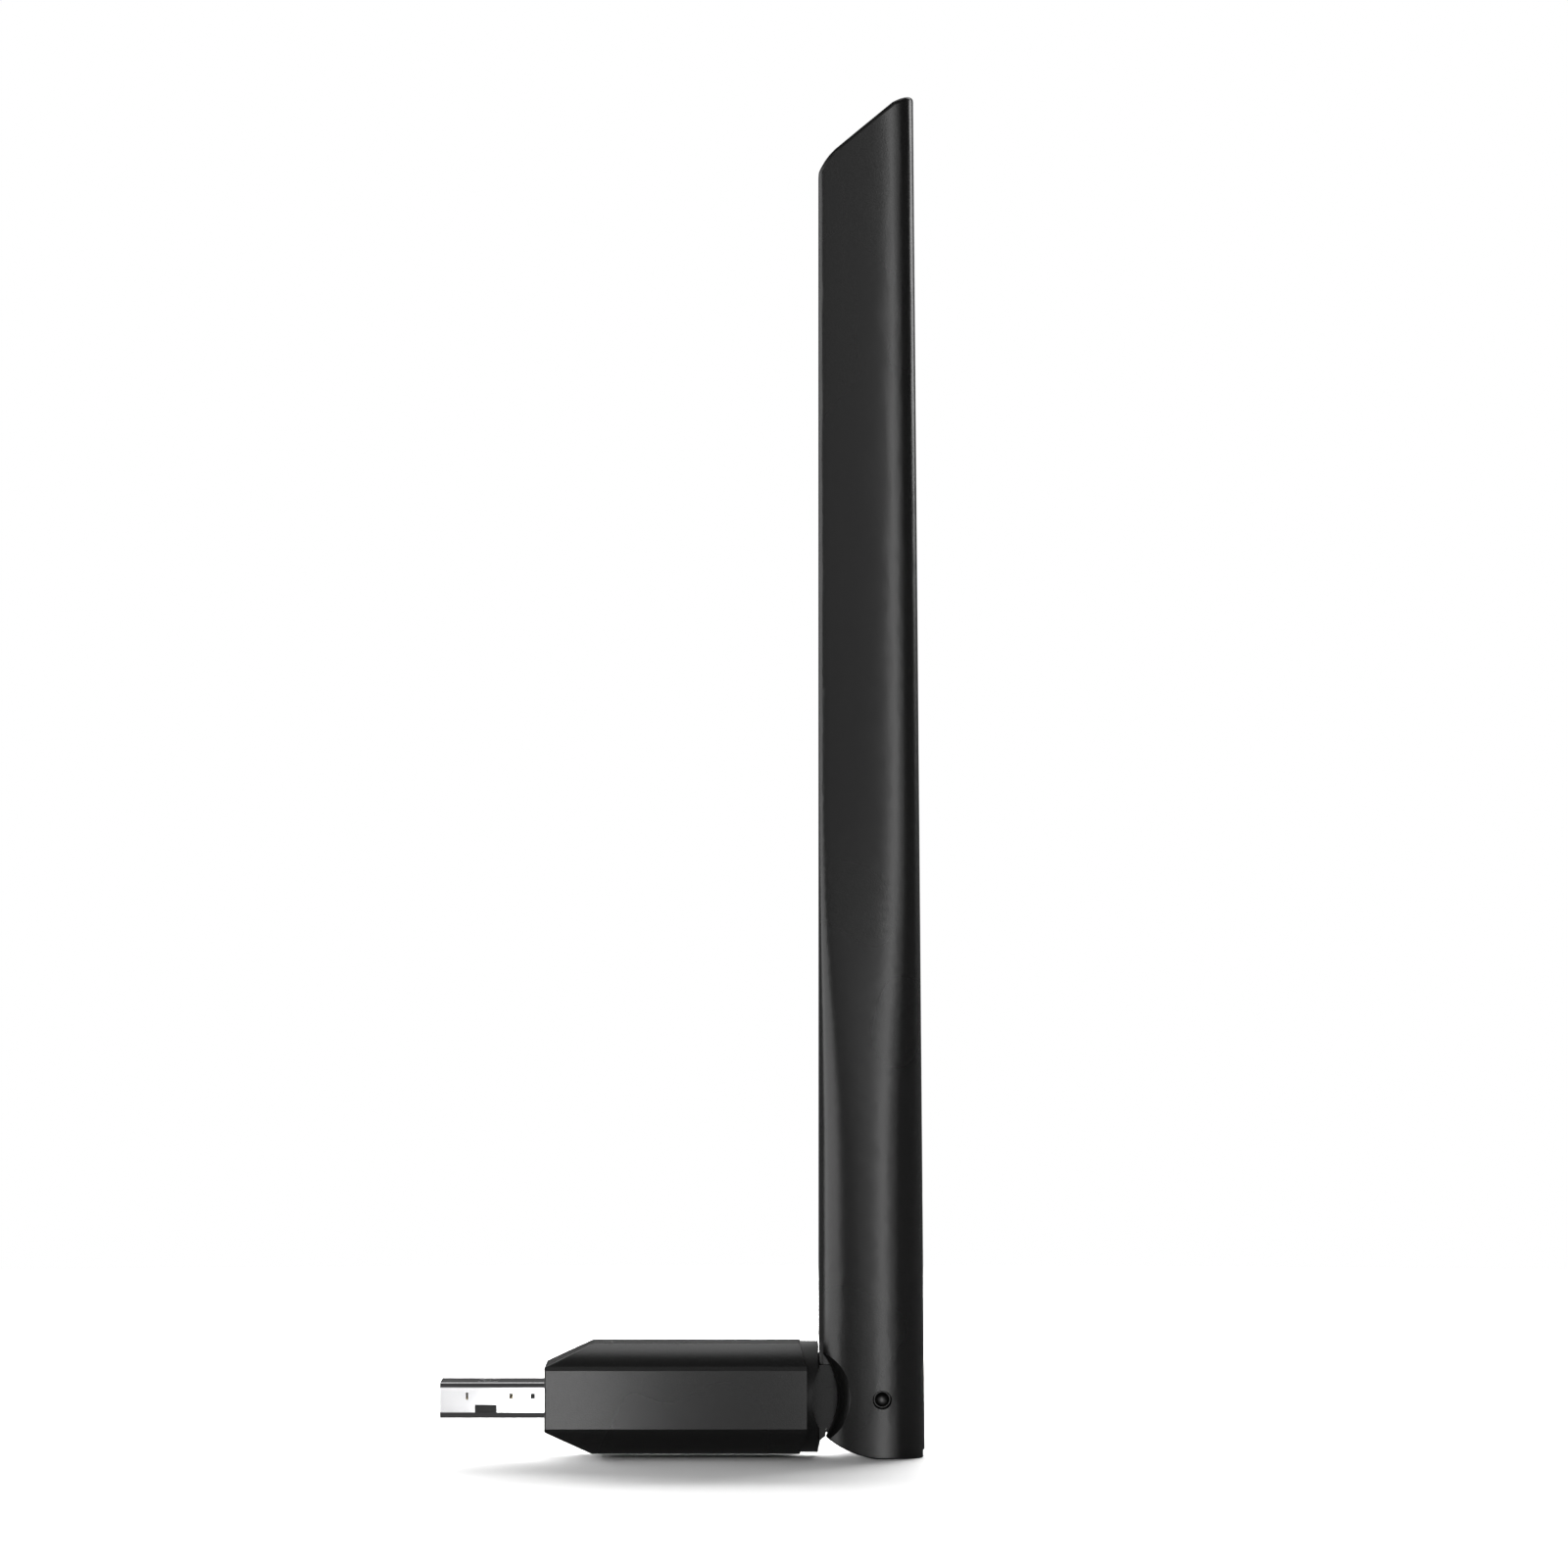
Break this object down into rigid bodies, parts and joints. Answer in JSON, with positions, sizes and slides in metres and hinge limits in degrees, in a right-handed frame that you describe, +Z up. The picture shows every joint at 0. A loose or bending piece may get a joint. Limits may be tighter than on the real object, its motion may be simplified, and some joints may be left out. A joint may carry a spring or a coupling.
{
  "type": "usb wifi adapter",
  "caption": "Slim USB network adapter: steel plug, faceted black body, round swivel collar and a long blade antenna that tilts and turns.",
  "frame": {"origin": "centre of the USB plug where it meets the front shoulder of the body", "axes": "+X from the plug through the body to the antenna, +Z up along the antenna, +Y across"},
  "size_m": [0.0616, 0.0182, 0.1729],
  "materials": {
    "plug_steel": "bright nickel-plated folded steel",
    "plug_insulator": "black moulded insulator",
    "contact_plating": "gold-plated contact",
    "body_plastic": "fine matt black moulding",
    "swivel_plastic": "matt black moulding",
    "antenna_plastic": "fine-textured matt black moulding",
    "circuit_board": "green solder mask",
    "tinned_steel": "tinned sheet",
    "chip_resin": "black epoxy",
    "ceramic_chip": "tan ceramic chip",
    "clear_plastic": "clear moulded plastic",
    "coax_jacket": "black jacket",
    "spring_steel": "spring steel",
    "copper": "bare copper",
    "foam": "closed-cell foam",
    "pin_steel": "blackened steel pin",
    "washer_plastic": "natural nylon",
    "solder": "solder"
  },
  "bodies": {
    "adapter": {"usb_plug_shell": "plug_steel", "usb_plug_insulator": "plug_insulator", "usb_contacts": "contact_plating", "usb_contact_tails": "contact_plating", "body_top_shell": "body_plastic", "body_bottom_shell": "body_plastic", "main_board": "circuit_board", "shield_can": "tinned_steel", "wifi_chip": "chip_resin", "crystal": "tinned_steel", "power_inductor": "chip_resin", "capacitors": "ceramic_chip", "status_led": "clear_plastic", "light_pipe": "clear_plastic", "coax_socket": "tinned_steel", "coax_plug": "tinned_steel", "coax_body_run": "coax_jacket"},
    "swivel": {"swivel_head": "swivel_plastic", "retaining_clip": "spring_steel", "spring_washer": "spring_steel", "coax_swivel_run": "coax_jacket"},
    "antenna": {"antenna_shell": "antenna_plastic", "antenna_front_cover": "antenna_plastic", "antenna_board": "circuit_board", "antenna_radiators": "copper", "foam_pads": "foam", "hinge_pin_near": "pin_steel", "hinge_pin_far": "pin_steel", "friction_washers": "washer_plastic", "coax_hinge_bend": "coax_jacket", "coax_antenna_run": "coax_jacket", "solder_joints": "solder"}
  },
  "joints": [
    {"name": "swivel_turn", "type": "hinge", "parent": "adapter", "child": "swivel", "pos_m": [0.0343, 0, 0.0002], "axis": [1, 0, 0], "range_deg": [-90, 90]},
    {"name": "antenna_tilt", "type": "hinge", "parent": "swivel", "child": "antenna", "pos_m": [0.04285, 0, 0.0002], "axis": [0, 1, 0], "range_deg": [0, 90], "deforming": ["coax_hinge_bend"]}
  ]
}
